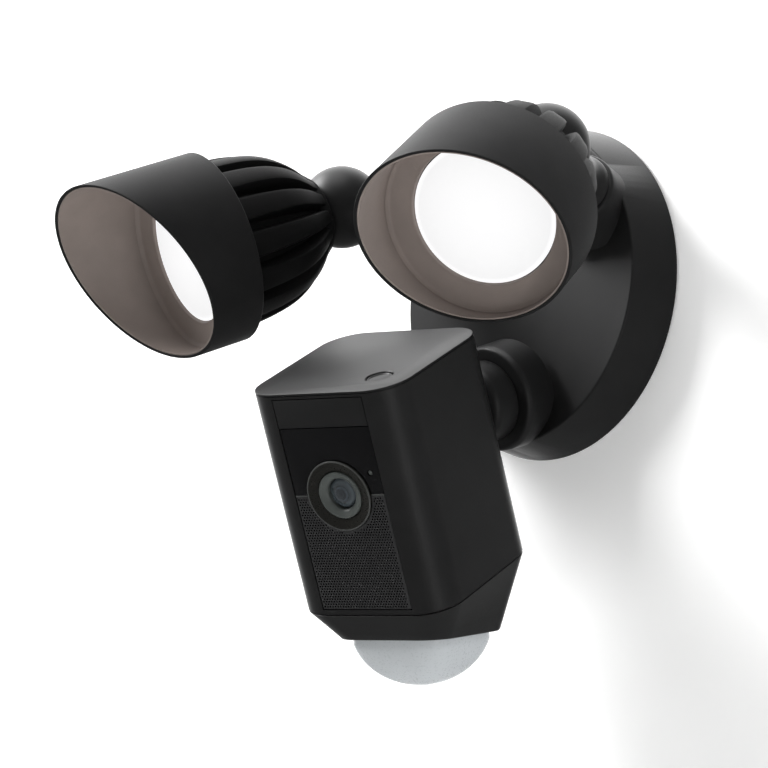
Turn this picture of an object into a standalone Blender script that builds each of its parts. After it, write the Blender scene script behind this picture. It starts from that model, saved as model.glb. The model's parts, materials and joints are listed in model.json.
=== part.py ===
"""Wall-mounted floodlight security camera: two aimable lamps and an aimable camera on a round base.

Metres, +Z up. The wall is the plane Y = 0 and the object stands out from it towards -Y.
The origin is the centre of the base's back, on the mounting bracket.
"""
import bpy
import bmesh
from math import atan, atan2, cos, pi, radians, sin
from mathutils import Matrix, Vector

MM = 0.001
GAP = 0.3 * MM              # between pieces that touch
BALL_GAP = 0.6 * MM         # between a ball and the seat it turns in

# --- driving dimensions, in millimetres until scaled by MM -------------------------------------
BASE_R_BACK = 65.0 * MM
BASE_R_FRONT = 61.7 * MM
BASE_DEPTH = 21.3 * MM
BASE_CROWN = 1.2 * MM       # how far the front face bulges at its centre
BASE_WALL = 2.5 * MM

# Lamp arms. The knuckle centre is the ball that the lamp head tilts on.
KNUCKLE_X, KNUCKLE_Y, KNUCKLE_Z = 57.5 * MM, -61.0 * MM, 36.0 * MM
ARM_YAW, ARM_RISE = radians(24.7), radians(16.3)
KNUCKLE_R = 16.2 * MM
NECK_R = 11.0 * MM
LAMP_BOSS_FACE, LAMP_BOSS_ROOT = 30.0 * MM, 46.0 * MM     # distances behind the knuckle
LAMP_BOSS_R_FACE, LAMP_BOSS_R_ROOT = 15.0 * MM, 18.5 * MM

# Lamp heads, measured along the head's axis from the knuckle centre.
HEAD_YAW = {"left": radians(-18.9), "right": radians(22.8)}
HEAD_PITCH = {"left": radians(-22.0), "right": radians(-34.5)}
HOOD_TURN = {"left": radians(-25.0), "right": radians(-7.0)}  # long side of the hood, about the axis
HOOD_START = 56.2 * MM
HOOD_R_REAR, HOOD_R_LIP, HOOD_WALL = 37.6 * MM, 37.8 * MM, 1.8 * MM
HOOD_MEAN, HOOD_SLOPE = 35.6 * MM, 0.40       # mean length, and the lip's slant
SINK_FRONT, SINK_RIM_R = HOOD_START + 10.0 * MM, 35.5 * MM
FIN_COUNT, FIN_THICK = 14, 5.0 * MM
LENS_R, LENS_FRONT, LENS_THICK = 26.2 * MM, HOOD_START + 13.4 * MM, 2.0 * MM
BEZEL_R_IN, BEZEL_R_OUT = 26.6 * MM, 35.6 * MM

# Camera arm. The seat is where the turning collar meets the fixed boss.
SEAT = Vector((0.0, -36.4, -46.6)) * MM
SEAT_DROP = radians(20.0)
SEAT_R = 15.4 * MM
CAMERA_BOSS_ROOT = 14.0 * MM
BALL_REACH = 30.5 * MM      # seat to ball centre
BALL_R = 11.0 * MM
CAMERA_NECK_R = 5.0 * MM

# Camera housing, in its own frame: X to its left, Y to its back, Z up, origin at the lens centre.
CAMERA_YAW, CAMERA_PITCH, CAMERA_ROLL = radians(11.8), radians(-29.95), radians(-5.3)
BODY_HALF, BODY_DEEP, BODY_CORNER = 32.8 * MM, 67.4 * MM, 13.6 * MM
BODY_TOP, BODY_BOTTOM = 39.2 * MM, -46.5 * MM
BODY_WALL = 2.2 * MM
PANEL_HALF = 19.3 * MM
PANEL_TOP, WINDOW_TOP, WINDOW_LOW, PANEL_LOW = 36.9 * MM, 25.8 * MM, 0.0, -44.2 * MM
PANEL_THICK = 1.6 * MM
LENS_DISC_R, BARREL_R, GLASS_R = 13.3 * MM, 8.9 * MM, 5.6 * MM
SKIRT_PLANE = Vector((0.0, 28.9, -66.8)) * MM     # centre of the skirt's underside
SKIRT_TILT = radians(18.5)                        # its back edge hangs lower
SKIRT_HALF, SKIRT_WALL = 23.4 * MM, 2.4 * MM
DOME_R, DOME_HEIGHT, DOME_WALL = 22.0 * MM, 16.2 * MM, 1.3 * MM
DOME_DROP = 2.4 * MM        # straight part between the skirt and the cap
DOME_POWER = 3.5            # 2 is a circle, and more is nearer to a square
FLANGE_LOW, FLANGE_HIGH, FLANGE_LAP = 4.6 * MM, 6.4 * MM, 1.6 * MM
BALL_BEHIND, BALL_RISE = 68.5 * MM, 4.3 * MM      # ball centre in the housing's frame
SOCKET_R, SOCKET_LIP = 13.5 * MM, 4.6 * MM        # the lip is measured back from the ball centre
BUTTON_AT = Vector((18.1, 15.5)) * MM             # on the top face: sideways, back
BUTTON_R, BUTTON_TRAVEL = 4.8 * MM, 1.2 * MM
SENSOR_AT = Vector((15.3, 8.2)) * MM              # on the front face: sideways, up

SHANK_R, NUT_R, NUT_THICK, WIRE_R = 6.2 * MM, 9.0 * MM, 3.5 * MM, 3.2 * MM
SHANK_TAIL = NUT_THICK + 1.0 * MM                 # how far a shank passes its boss's root
MERGE = 0.00001


# --- directions and frames -----------------------------------------------------------------------
def aim(yaw, pitch):
    """Unit vector that leaves the wall (-Y), turned by yaw about Z, then raised by pitch."""
    return Vector((sin(yaw) * cos(pitch), -cos(yaw) * cos(pitch), sin(pitch)))


def axis_frame(origin, forward, upward):
    """Matrix with Z along forward and Y as near to upward as it can be."""
    z = forward.normalized()
    y = (upward - upward.dot(z) * z).normalized()
    x = y.cross(z)
    turn = Matrix((x, y, z)).transposed().to_4x4()
    return Matrix.Translation(origin) @ turn


def arm_direction(side):
    mirror = -1.0 if side == "left" else 1.0
    return aim(mirror * ARM_YAW, ARM_RISE)


def knuckle_centre(side):
    mirror = -1.0 if side == "left" else 1.0
    return Vector((mirror * KNUCKLE_X, KNUCKLE_Y, KNUCKLE_Z))


def arm_frame(side):
    return axis_frame(knuckle_centre(side), arm_direction(side), Vector((0, 0, 1)))


def head_frame(side):
    """Z is the lamp's axis and Y points to the hood's long side."""
    forward = aim(HEAD_YAW[side], HEAD_PITCH[side])
    level = Vector((cos(HEAD_YAW[side]), sin(HEAD_YAW[side]), 0.0))
    top = -level.cross(forward) if level.cross(forward).z < 0 else level.cross(forward)
    long_side = top * cos(HOOD_TURN[side]) + level * sin(HOOD_TURN[side])
    return axis_frame(knuckle_centre(side), forward, long_side)


def seat_direction():
    return aim(0.0, -SEAT_DROP)


def seat_frame():
    return axis_frame(SEAT, seat_direction(), Vector((0, 0, 1)))


def camera_frame():
    """The housing's frame, placed so that its socket sits on the ball."""
    forward = aim(CAMERA_YAW, CAMERA_PITCH)
    level = Vector((cos(CAMERA_YAW), sin(CAMERA_YAW), 0.0))
    top = level.cross(forward)
    top = -top if top.z < 0 else top
    x = level * cos(CAMERA_ROLL) + top * sin(CAMERA_ROLL)
    z = top * cos(CAMERA_ROLL) - level * sin(CAMERA_ROLL)
    turn = Matrix((x, -forward, z)).transposed()
    ball = SEAT + seat_direction() * BALL_REACH
    origin = ball - turn @ Vector((0.0, BALL_BEHIND, BALL_RISE))
    return Matrix.Translation(origin) @ turn.to_4x4()


def ball_frame():
    """The housing's axes at the centre of the ball that it turns on."""
    return camera_frame() @ Matrix.Translation((0.0, BALL_BEHIND, BALL_RISE))


# --- scene, materials and shape helpers -----------------------------------------------------------
def clear_scene():
    for item in list(bpy.data.objects):
        bpy.data.objects.remove(item, do_unlink=True)


def new_collection(name):
    made = bpy.data.collections.new(name)
    bpy.context.scene.collection.children.link(made)
    return made


def make_material(name, colour, roughness, metallic=0.0):
    made = bpy.data.materials.new(name)
    made.use_nodes = True
    shader = made.node_tree.nodes["Principled BSDF"]
    shader.inputs["Base Color"].default_value = (*colour, 1.0)
    shader.inputs["Roughness"].default_value = roughness
    shader.inputs["Metallic"].default_value = metallic
    return made


def place(name, mesh, frame, finish):
    """Adds a mesh as a named part, or as a cutter when it has no finish."""
    made = bpy.data.objects.new(name, mesh)
    made.matrix_world = frame
    if finish is None:
        made.hide_render = True
        made.display_type = "WIRE"
        CUTTERS.objects.link(made)
    else:
        mesh.materials.append(MATERIALS[finish])
        PARTS.objects.link(made)
    return made


def turned(name, profile, frame, finish, steps=24):
    """Turns (radius, height) points about Z. The profile runs down the outer side.

    A profile that starts and ends on the axis makes a solid; any other is closed into a band.
    """
    mesh = bpy.data.meshes.new(name)
    count = len(profile)
    edges = [(i, i + 1) for i in range(count - 1)]
    if profile[0][0] > 0.0:
        edges.append((count - 1, 0))
    mesh.from_pydata([(r, 0.0, h) for r, h in profile], edges, [])
    made = place(name, mesh, frame, finish)
    screw = made.modifiers.new("Turn", "SCREW")
    screw.steps = steps
    screw.render_steps = steps
    screw.use_merge_vertices = True
    screw.merge_threshold = MERGE
    return made


def cylinder(name, radius, low, high, frame, finish, steps=24):
    profile = [(0.0, high), (radius, high), (radius, low), (0.0, low)]
    return turned(name, profile, frame, finish, steps)


def band(name, outer, inner, low, high, frame, finish, steps=24):
    profile = [(outer, high), (outer, low), (inner, low), (inner, high)]
    return turned(name, profile, frame, finish, steps)


def ball(name, radius, frame, finish, rows=10, steps=24):
    points = [(radius * sin(pi * i / rows), radius * cos(pi * i / rows)) for i in range(rows + 1)]
    points[0] = (0.0, radius)
    points[-1] = (0.0, -radius)
    return turned(name, points, frame, finish, steps)


def block(name, low, high, frame, finish, corner=0.0, steps=5):
    """A box between two corners, its edges along Z rounded by corner."""
    mesh = bpy.data.meshes.new(name)
    shape = bmesh.new()
    bmesh.ops.create_cube(shape, size=1.0)
    size, middle = Vector(high) - Vector(low), (Vector(high) + Vector(low)) / 2.0
    bmesh.ops.scale(shape, vec=size, verts=shape.verts)
    bmesh.ops.translate(shape, vec=middle, verts=shape.verts)
    if corner > 0.0:
        upright = [e for e in shape.edges if abs(e.verts[0].co.z - e.verts[1].co.z) > size.z / 2]
        bmesh.ops.bevel(shape, geom=upright, offset=corner, segments=steps,
                        profile=0.5, affect="EDGES", clamp_overlap=True)
    shape.to_mesh(mesh)
    shape.free()
    return place(name, mesh, frame, finish)


def outline_plate(name, points, thickness, frame, finish):
    """A flat plate from an outline in XY, centred on Z = 0."""
    curve = bpy.data.curves.new(name, "CURVE")
    curve.dimensions = "2D"
    curve.fill_mode = "BOTH"
    curve.extrude = thickness / 2.0
    line = curve.splines.new("POLY")
    line.points.add(len(points) - 1)
    for point, (x, y) in zip(line.points, points):
        point.co = (x, y, 0.0, 1.0)
    line.use_cyclic_u = True
    holder = bpy.data.objects.new(name + "_outline", curve)
    PARTS.objects.link(holder)
    holder.matrix_world = frame
    bpy.context.view_layer.update()
    graph = bpy.context.evaluated_depsgraph_get()
    mesh = bpy.data.meshes.new_from_object(holder.evaluated_get(graph))
    shape = bmesh.new()
    shape.from_mesh(mesh)
    bmesh.ops.remove_doubles(shape, verts=shape.verts, dist=MERGE)
    bmesh.ops.recalc_face_normals(shape, faces=shape.faces)
    shape.to_mesh(mesh)
    shape.free()
    bpy.data.objects.remove(holder, do_unlink=True)
    return place(name, mesh, frame, finish)


def combine(target, tool, operation):
    step = target.modifiers.new(operation.title() + " " + tool.name, "BOOLEAN")
    step.operation = operation
    step.object = tool
    step.solver = "EXACT"
    return target


def cut(target, tool):
    return combine(target, tool, "DIFFERENCE")


def join(target, tool):
    return combine(target, tool, "UNION")


def lofted_block(name, inset, lift, frame, finish):
    """The skirt's tapering shape: the body's outline above, a smaller tilted outline below."""
    made = block(name, (-BODY_HALF + inset, inset, BODY_BOTTOM - 20 * MM),
                 (BODY_HALF - inset, BODY_DEEP - inset, BODY_BOTTOM + lift[0]),
                 frame, finish, corner=BODY_CORNER - inset)
    middle = Vector((0.0, BODY_DEEP / 2.0, 0.0))
    shrink = (SKIRT_HALF - inset) / (BODY_HALF - inset)
    bottom = skirt_frame() @ Matrix.Translation((0.0, 0.0, lift[1]))
    for vertex in made.data.vertices:
        if vertex.co.z < BODY_BOTTOM - 10 * MM:
            flat = (vertex.co - middle) * shrink
            vertex.co = bottom @ Vector((flat.x, flat.y, 0.0))
    return made


def skirt_frame():
    """Frame of the skirt's underside within the housing: Z points up out of the plane."""
    return Matrix.Translation(SKIRT_PLANE) @ Matrix.Rotation(-SKIRT_TILT, 4, "X")


# --- base -----------------------------------------------------------------------------------------
def wall_frame():
    """Z leaves the wall, so heights are distances from the wall."""
    return axis_frame(Vector((0, 0, 0)), Vector((0, -1, 0)), Vector((0, 0, 1)))


def stepped_bore(name, root, high, frame):
    """Cutter for an arm's shank, with a wider pocket for the nut behind the root."""
    low, step = root - 9.0 * MM, root + 1.0 * MM
    bore_r, pocket_r = SHANK_R + 0.4 * MM, NUT_R + 1.5 * MM
    return turned(name, [(0.0, high), (bore_r, high), (bore_r, step), (pocket_r, step),
                         (pocket_r, low), (0.0, low)], frame, None)


def make_base():
    frame = wall_frame()
    front, wall = BASE_DEPTH, BASE_WALL
    slope = (BASE_R_BACK - BASE_R_FRONT) / BASE_DEPTH
    outer = [(0.0, front + BASE_CROWN), (BASE_R_FRONT * 0.35, front + 0.88 * BASE_CROWN),
             (BASE_R_FRONT * 0.7, front + 0.5 * BASE_CROWN), (BASE_R_FRONT - 1.3 * MM, front),
             (BASE_R_FRONT - 0.4 * MM, front - 0.4 * MM), (BASE_R_FRONT + 0.1 * MM, front - 1.3 * MM),
             (BASE_R_BACK, 0.5 * MM)]
    inner = [(BASE_R_BACK - wall, 0.5 * MM),
             (BASE_R_FRONT - wall + slope * wall, front - wall), (0.0, front - wall)]
    housing = turned("base_housing", outer + inner, frame, "shell", steps=48)

    bores = []
    for side in ("left", "right"):
        place_frame = arm_frame(side)
        face, root = -LAMP_BOSS_FACE, -LAMP_BOSS_ROOT
        boss = turned(side + "_boss", [
            (0.0, face), (LAMP_BOSS_R_FACE - 1.0 * MM, face), (LAMP_BOSS_R_FACE, face - 1.0 * MM),
            (LAMP_BOSS_R_FACE + 0.8 * MM, face - 8.0 * MM), (LAMP_BOSS_R_ROOT, root), (0.0, root)],
            place_frame, None)
        join(housing, boss)
        bores.append(stepped_bore(side + "_boss_bore", root, face + 4 * MM, place_frame))

    place_frame, root = seat_frame(), -CAMERA_BOSS_ROOT
    boss = turned("camera_boss", [
        (0.0, 0.0), (SEAT_R + 0.6 * MM, 0.0), (SEAT_R + 3.4 * MM, -1.0 * MM),
        (SEAT_R + 4.9 * MM, -3.5 * MM), (SEAT_R + 5.0 * MM, -8.0 * MM),
        (SEAT_R + 5.4 * MM, root), (0.0, root)], place_frame, None, steps=32)
    join(housing, boss)
    bores.append(stepped_bore("camera_boss_bore", root, 4 * MM, place_frame))
    for bore in bores:
        cut(housing, bore)
    return housing


def make_base_fittings():
    frame = wall_frame()
    bar = block("wall_bracket", (-52 * MM, -11 * MM, 0.0), (52 * MM, 11 * MM, 2.0 * MM),
                frame, "steel", corner=5 * MM, steps=3)
    for place_x in (-40, -24, 24, 40):
        slot = block("bracket_slot_%d" % place_x, ((place_x - 5) * MM, -2.4 * MM, -1 * MM),
                     ((place_x + 5) * MM, 2.4 * MM, 3 * MM), frame, None, corner=2.3 * MM, steps=3)
        cut(bar, slot)
    band("wall_gasket", 60.5 * MM, 56.0 * MM, 0.0, 2.6 * MM, frame, "foam", steps=40)

    plate = cylinder("base_back_plate", 58.5 * MM, 3.0 * MM, 5.0 * MM, frame, "liner", steps=40)
    window = block("wire_window", (-14 * MM, -30 * MM, 2 * MM), (14 * MM, -18 * MM, 6 * MM),
                   frame, None, corner=3 * MM, steps=3)
    cut(plate, window)
    for number, angle in enumerate((45, 135, 225, 315), start=1):
        spot = Vector((cos(radians(angle)), sin(radians(angle)), 0.0)) * 51.0 * MM
        hole_frame = frame @ Matrix.Translation(spot)
        cut(plate, cylinder("plate_hole_%d" % number, 1.9 * MM, 2 * MM, 6 * MM, hole_frame, None, 12))
        turned("back_plate_screw_%d" % number, [
            (0.0, 9.0 * MM), (1.6 * MM, 9.0 * MM), (1.6 * MM, 2.7 * MM),
            (3.2 * MM, 2.7 * MM), (2.6 * MM, 1.0 * MM), (0.0, 1.0 * MM)], hole_frame, "steel", 16)

    block("driver_board", (-30 * MM, -12 * MM, 9.0 * MM), (30 * MM, 20 * MM, 10.6 * MM),
          frame, "board", corner=3 * MM, steps=2)
    block("transformer", (-9 * MM, -9 * MM, 10.9 * MM), (9 * MM, 7 * MM, 17.5 * MM),
          frame, "component")
    block("smoothing_capacitor", (-24 * MM, -9 * MM, 10.9 * MM), (-14 * MM, 3 * MM, 16.9 * MM),
          frame, "steel", corner=3 * MM, steps=3)
    block("terminal_block", (-11 * MM, -28 * MM, 5.3 * MM), (11 * MM, -20 * MM, 12.5 * MM),
          frame, "component")
    turned("siren", [(0.0, 17.4 * MM), (9 * MM, 17.4 * MM), (11.5 * MM, 15.4 * MM),
                     (11.5 * MM, 10.9 * MM), (0.0, 10.9 * MM)],
           frame @ Matrix.Translation((-30 * MM, -24.4 * MM, -4.6 * MM)), "component", 24)


# --- lamps ----------------------------------------------------------------------------------------
def make_arm(side):
    """A neck that turns in the base's boss and ends in the ball that carries the lamp head."""
    frame = arm_frame(side)
    face, root = -LAMP_BOSS_FACE, -LAMP_BOSS_ROOT
    start, rows = radians(42.0), 9
    ball_line = []
    for i in range(rows + 1):
        angle = (pi - start) * i / rows
        ball_line.append((KNUCKLE_R * sin(angle), KNUCKLE_R * cos(angle)))
    ball_line[0] = (0.0, KNUCKLE_R)
    neck = [(NECK_R, -16.0 * MM), (NECK_R + 0.4 * MM, -24.0 * MM),
            (LAMP_BOSS_R_FACE - 2.2 * MM, face + 1.6 * MM), (LAMP_BOSS_R_FACE - 2.6 * MM, face + GAP),
            (SHANK_R, face + GAP), (SHANK_R, root - SHANK_TAIL),
            (0.0, root - SHANK_TAIL)]
    arm = turned(side + "_arm", ball_line + neck, frame, "shell", steps=24)
    cut(arm, cylinder(side + "_arm_bore", WIRE_R, root - 10 * MM, 0.0, frame, None, 16))
    cut(arm, cylinder(side + "_arm_outlet", WIRE_R, -0.6 * MM, KNUCKLE_R + 3 * MM,
                      head_frame(side), None, 16))
    band(side + "_arm_nut", NUT_R, SHANK_R + GAP, root - NUT_THICK, root + 0.6 * MM,
         frame, "steel", 12)


def sink_profile():
    """Outer edge of the fins, as (radius, distance from the knuckle centre), collar first."""
    points = [(14.6, 13.4), (20.6, 18.5), (26.0, 25.0), (29.8, 33.0), (31.8, 42.0),
              (32.8, 52.0), (33.0, 64.0)]
    return [(r * MM, t * MM) for r, t in points]


def make_head(side):
    frame = head_frame(side)
    front = SINK_FRONT
    sink = turned(side + "_heat_sink", [
        (0.0, front), (SINK_RIM_R, front), (SINK_RIM_R, front - 5 * MM), (28.8 * MM, front - 5.4 * MM),
        (28.4 * MM, 50 * MM), (25.2 * MM, 36 * MM), (20.0 * MM, 25.5 * MM),
        (14.4 * MM, 16.2 * MM), (14.2 * MM, 12.2 * MM), (13.2 * MM, 11.4 * MM),
        (0.0, 11.4 * MM)], frame, "sink", steps=36)
    edge = sink_profile()
    outline = edge + [(12 * MM, edge[-1][1]), (12 * MM, edge[0][1])]
    for number in range(FIN_COUNT):
        spin = Matrix.Rotation(2 * pi * (number + 0.5) / FIN_COUNT, 4, "Z")
        stand = Matrix.Rotation(pi / 2, 4, "X")
        fin = outline_plate("%s_fin_%02d" % (side, number), outline, FIN_THICK,
                            frame @ spin @ stand, None)
        join(sink, fin)
    cut(sink, ball(side + "_cup", KNUCKLE_R + BALL_GAP, frame, None))
    cut(sink, cylinder(side + "_board_pocket", 25.5 * MM, front - 4.5 * MM, front + 5 * MM,
                       frame, None, 36))
    cut(sink, cylinder(side + "_sink_bore", WIRE_R, 5 * MM, front + 5 * MM, frame, None, 16))

    reach = HOOD_START + HOOD_MEAN + HOOD_SLOPE * HOOD_R_LIP + 6 * MM
    hood = band(side + "_hood", HOOD_R_REAR, HOOD_R_REAR - HOOD_WALL, HOOD_START, reach,
                frame, "shell", steps=48)
    for vertex in hood.data.vertices:
        vertex.co.x += (HOOD_R_LIP - HOOD_R_REAR) * (vertex.co.z > HOOD_START + 1 * MM)
    lean = Matrix.Rotation(atan(HOOD_SLOPE), 4, "X")
    lip_frame = frame @ Matrix.Translation((0.0, 0.0, HOOD_START + HOOD_MEAN)) @ lean
    cut(hood, block(side + "_lip_cut", (-60 * MM, -60 * MM, 0.0), (60 * MM, 60 * MM, 60 * MM),
                    lip_frame, None))

    low, high = front + GAP, LENS_FRONT + 1.2 * MM
    turned(side + "_bezel", [
        (BEZEL_R_OUT, high), (BEZEL_R_OUT, low), (BEZEL_R_IN, low),
        (BEZEL_R_IN, LENS_FRONT - 0.4 * MM), (BEZEL_R_IN + 0.6 * MM, LENS_FRONT)],
        frame, "hood_lining", steps=40)
    cylinder(side + "_lens", LENS_R, LENS_FRONT - LENS_THICK, LENS_FRONT, frame, "diffuser", 40)
    band(side + "_lens_seal", 26.0 * MM, 23.0 * MM, front + GAP, LENS_FRONT - LENS_THICK - GAP,
         frame, "rubber", 24)
    cylinder(side + "_led_board", 24.5 * MM, front - 4.2 * MM, front - 2.6 * MM, frame, "board", 24)


# --- camera ---------------------------------------------------------------------------------------
def make_camera_arm():
    frame = seat_frame()
    root = -CAMERA_BOSS_ROOT
    arm = turned("camera_arm", [
        (0.0, BALL_REACH - 2 * MM), (CAMERA_NECK_R, BALL_REACH - 8.0 * MM),
        (CAMERA_NECK_R + 0.4 * MM, 18.0 * MM), (CAMERA_NECK_R + 1.8 * MM, 14.5 * MM),
        (12.6 * MM, 12.6 * MM), (14.6 * MM, 11.4 * MM), (SEAT_R, 9.6 * MM),
        (SEAT_R, 1.0 * MM), (SEAT_R - 0.6 * MM, GAP), (SHANK_R, GAP),
        (SHANK_R, root - SHANK_TAIL), (0.0, root - SHANK_TAIL)],
        frame, "shell", steps=32)
    cut(arm, ball("camera_arm_cup", BALL_R + BALL_GAP,
                  frame @ Matrix.Translation((0, 0, BALL_REACH)), None))
    cut(arm, cylinder("camera_arm_bore", WIRE_R, root - 10 * MM, BALL_REACH, frame, None, 16))
    band("camera_arm_nut", NUT_R, SHANK_R + GAP, root - NUT_THICK, root + 0.6 * MM,
         frame, "steel", 12)


def make_camera_ball():
    lay = ball_frame() @ Matrix.Rotation(pi / 2, 4, "X")
    made = ball("camera_ball", BALL_R, lay, "steel", rows=10, steps=24)
    cut(made, cylinder("ball_bore", WIRE_R, -BALL_R - 2 * MM, BALL_R + 2 * MM, lay, None, 16))


def make_camera_shell():
    frame = camera_frame()
    shell = block("camera_shell", (-BODY_HALF, 0.0, BODY_BOTTOM), (BODY_HALF, BODY_DEEP, BODY_TOP),
                  frame, "shell", corner=BODY_CORNER, steps=5)
    wall = BODY_WALL
    cut(shell, block("shell_hollow", (-BODY_HALF + wall, wall, BODY_BOTTOM - 5 * MM),
                     (BODY_HALF - wall, BODY_DEEP - wall, BODY_TOP - wall), frame, None,
                     corner=BODY_CORNER - wall, steps=5))
    cut(shell, block("panel_opening", (-PANEL_HALF - GAP, -5 * MM, PANEL_LOW - GAP),
                     (PANEL_HALF + GAP, wall + 1 * MM, PANEL_TOP + GAP), frame, None))
    back = ball_frame() @ Matrix.Rotation(-pi / 2, 4, "X")       # Z points out of the back
    cut(shell, cylinder("ball_opening", SOCKET_R + GAP, -10 * MM, 10 * MM, back, None))
    button_frame = frame @ Matrix.Translation((*BUTTON_AT, 0.0))
    cut(shell, cylinder("button_hole", BUTTON_R + 0.4 * MM, BODY_TOP - 6 * MM, BODY_TOP + 4 * MM,
                        button_frame, None, 24))

    # The socket holds the ball past its middle, so the lip is narrower than the ball.
    socket = cylinder("ball_socket", SOCKET_R, -15.5 * MM, SOCKET_LIP, back, "liner")
    cut(socket, ball("socket_seat", BALL_R + BALL_GAP, back, None))
    cut(socket, cylinder("socket_bore", WIRE_R, -30 * MM, 0.0, back, None, 16))

    turned("reset_button", [
        (0.0, BODY_TOP - 0.3 * MM), (BUTTON_R - 0.6 * MM, BODY_TOP - 0.3 * MM),
        (BUTTON_R, BODY_TOP - 0.9 * MM), (BUTTON_R, BODY_TOP - 3.4 * MM),
        (BUTTON_R + 1.5 * MM, BODY_TOP - 3.4 * MM), (BUTTON_R + 1.5 * MM, BODY_TOP - 4.4 * MM),
        (0.0, BODY_TOP - 4.4 * MM)], button_frame, "shell", 24)
    switch_top = BODY_TOP - 4.4 * MM - BUTTON_TRAVEL - 2 * GAP
    block("reset_switch", (-4 * MM, -4 * MM, switch_top - 3.3 * MM), (4 * MM, 4 * MM, switch_top),
          button_frame, "component")


def make_camera_front():
    """The flat front between the shell's two rounded front corners, and what is behind it."""
    frame = camera_frame()
    lens_frame = frame @ Matrix.Rotation(pi / 2, 4, "X")     # Z leaves the front face
    clear = LENS_DISC_R + GAP
    thick = PANEL_THICK
    block("upper_panel", (-PANEL_HALF, 0.0, WINDOW_TOP + GAP), (PANEL_HALF, thick, PANEL_TOP),
          frame, "shell")
    window = block("camera_window", (-PANEL_HALF, 0.3 * MM, WINDOW_LOW + GAP / 2),
                   (PANEL_HALF, thick, WINDOW_TOP), frame, "gloss")
    cut(window, cylinder("window_hole", clear, -5 * MM, 5 * MM, lens_frame, None, 32))
    grille = block("speaker_grille", (-PANEL_HALF, 0.2 * MM, PANEL_LOW),
                   (PANEL_HALF, thick, WINDOW_LOW - GAP / 2), frame, "mesh")
    cut(grille, cylinder("grille_hole", clear, -5 * MM, 5 * MM, lens_frame, None, 32))
    sensor = lens_frame @ Matrix.Translation((*SENSOR_AT, 0.0))
    cut(window, cylinder("sensor_hole", 1.2 * MM, -5 * MM, 5 * MM, sensor, None, 12))
    cylinder("light_sensor", 0.9 * MM, -1.6 * MM, -0.4 * MM, sensor, "gloss", 12)

    plate = block("faceplate", (-PANEL_HALF - 2 * MM, thick + 1.0 * MM, PANEL_LOW + 1 * MM),
                  (PANEL_HALF + 2 * MM, thick + 2.6 * MM, PANEL_TOP - 1 * MM), frame, "liner")
    cut(plate, cylinder("faceplate_hole", 12.0 * MM, -9 * MM, 5 * MM, lens_frame, None, 24))
    speaker_at = lens_frame @ Matrix.Translation((0.0, -28.0 * MM, 0.0))
    cut(plate, cylinder("speaker_hole", 11.0 * MM, -9 * MM, 5 * MM, speaker_at, None, 24))
    turned("speaker", [(0.0, -4.6 * MM), (13.0 * MM, -4.6 * MM), (13.0 * MM, -8.0 * MM),
                       (8.0 * MM, -12.0 * MM), (8.0 * MM, -17.0 * MM), (0.0, -17.0 * MM)],
           speaker_at, "component", 24)

    turned("lens_surround", [
        (LENS_DISC_R, 0.4 * MM), (LENS_DISC_R, -2.2 * MM), (BARREL_R + GAP, -2.2 * MM),
        (BARREL_R + GAP, -0.4 * MM), (LENS_DISC_R - 0.8 * MM, 0.8 * MM)], lens_frame, "gloss", 32)
    turned("lens_barrel", [
        (BARREL_R, -0.2 * MM), (BARREL_R, -16.0 * MM), (GLASS_R - 1.2 * MM, -16.0 * MM),
        (GLASS_R - 1.2 * MM, -5.2 * MM), (GLASS_R + GAP, -5.2 * MM), (GLASS_R + GAP, -2.2 * MM),
        (BARREL_R - 0.8 * MM, 0.4 * MM)], lens_frame, "barrel", 24)
    turned("lens_glass", [
        (0.0, -1.6 * MM), (2.6 * MM, -1.9 * MM), (4.4 * MM, -2.6 * MM), (GLASS_R, -3.6 * MM),
        (GLASS_R, -4.9 * MM), (0.0, -4.9 * MM)], lens_frame, "glass", 24)
    block("image_sensor", (-7 * MM, 16.3 * MM, -7 * MM), (7 * MM, 19.0 * MM, 7 * MM),
          frame, "component")
    block("main_board", (-27 * MM, 19.3 * MM, -38 * MM), (27 * MM, 20.9 * MM, 28 * MM),
          frame, "board")
    block("network_module", (-12 * MM, 21.2 * MM, 10 * MM), (12 * MM, 24.2 * MM, 26 * MM),
          frame, "steel")


def square_off(piece):
    """Makes a turned piece's round plan a rounded square by pushing out its four corners."""
    bpy.context.view_layer.update()
    graph = bpy.context.evaluated_depsgraph_get()
    mesh = bpy.data.meshes.new_from_object(piece.evaluated_get(graph))
    piece.modifiers.clear()
    piece.data = mesh
    for vertex in mesh.vertices:
        reach = Vector(vertex.co[:2])
        if reach.length > MERGE:
            x, y = abs(reach.normalized().x), abs(reach.normalized().y)
            stretch = (x ** DOME_POWER + y ** DOME_POWER) ** (-1.0 / DOME_POWER)
            vertex.co.x *= stretch
            vertex.co.y *= stretch


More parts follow.
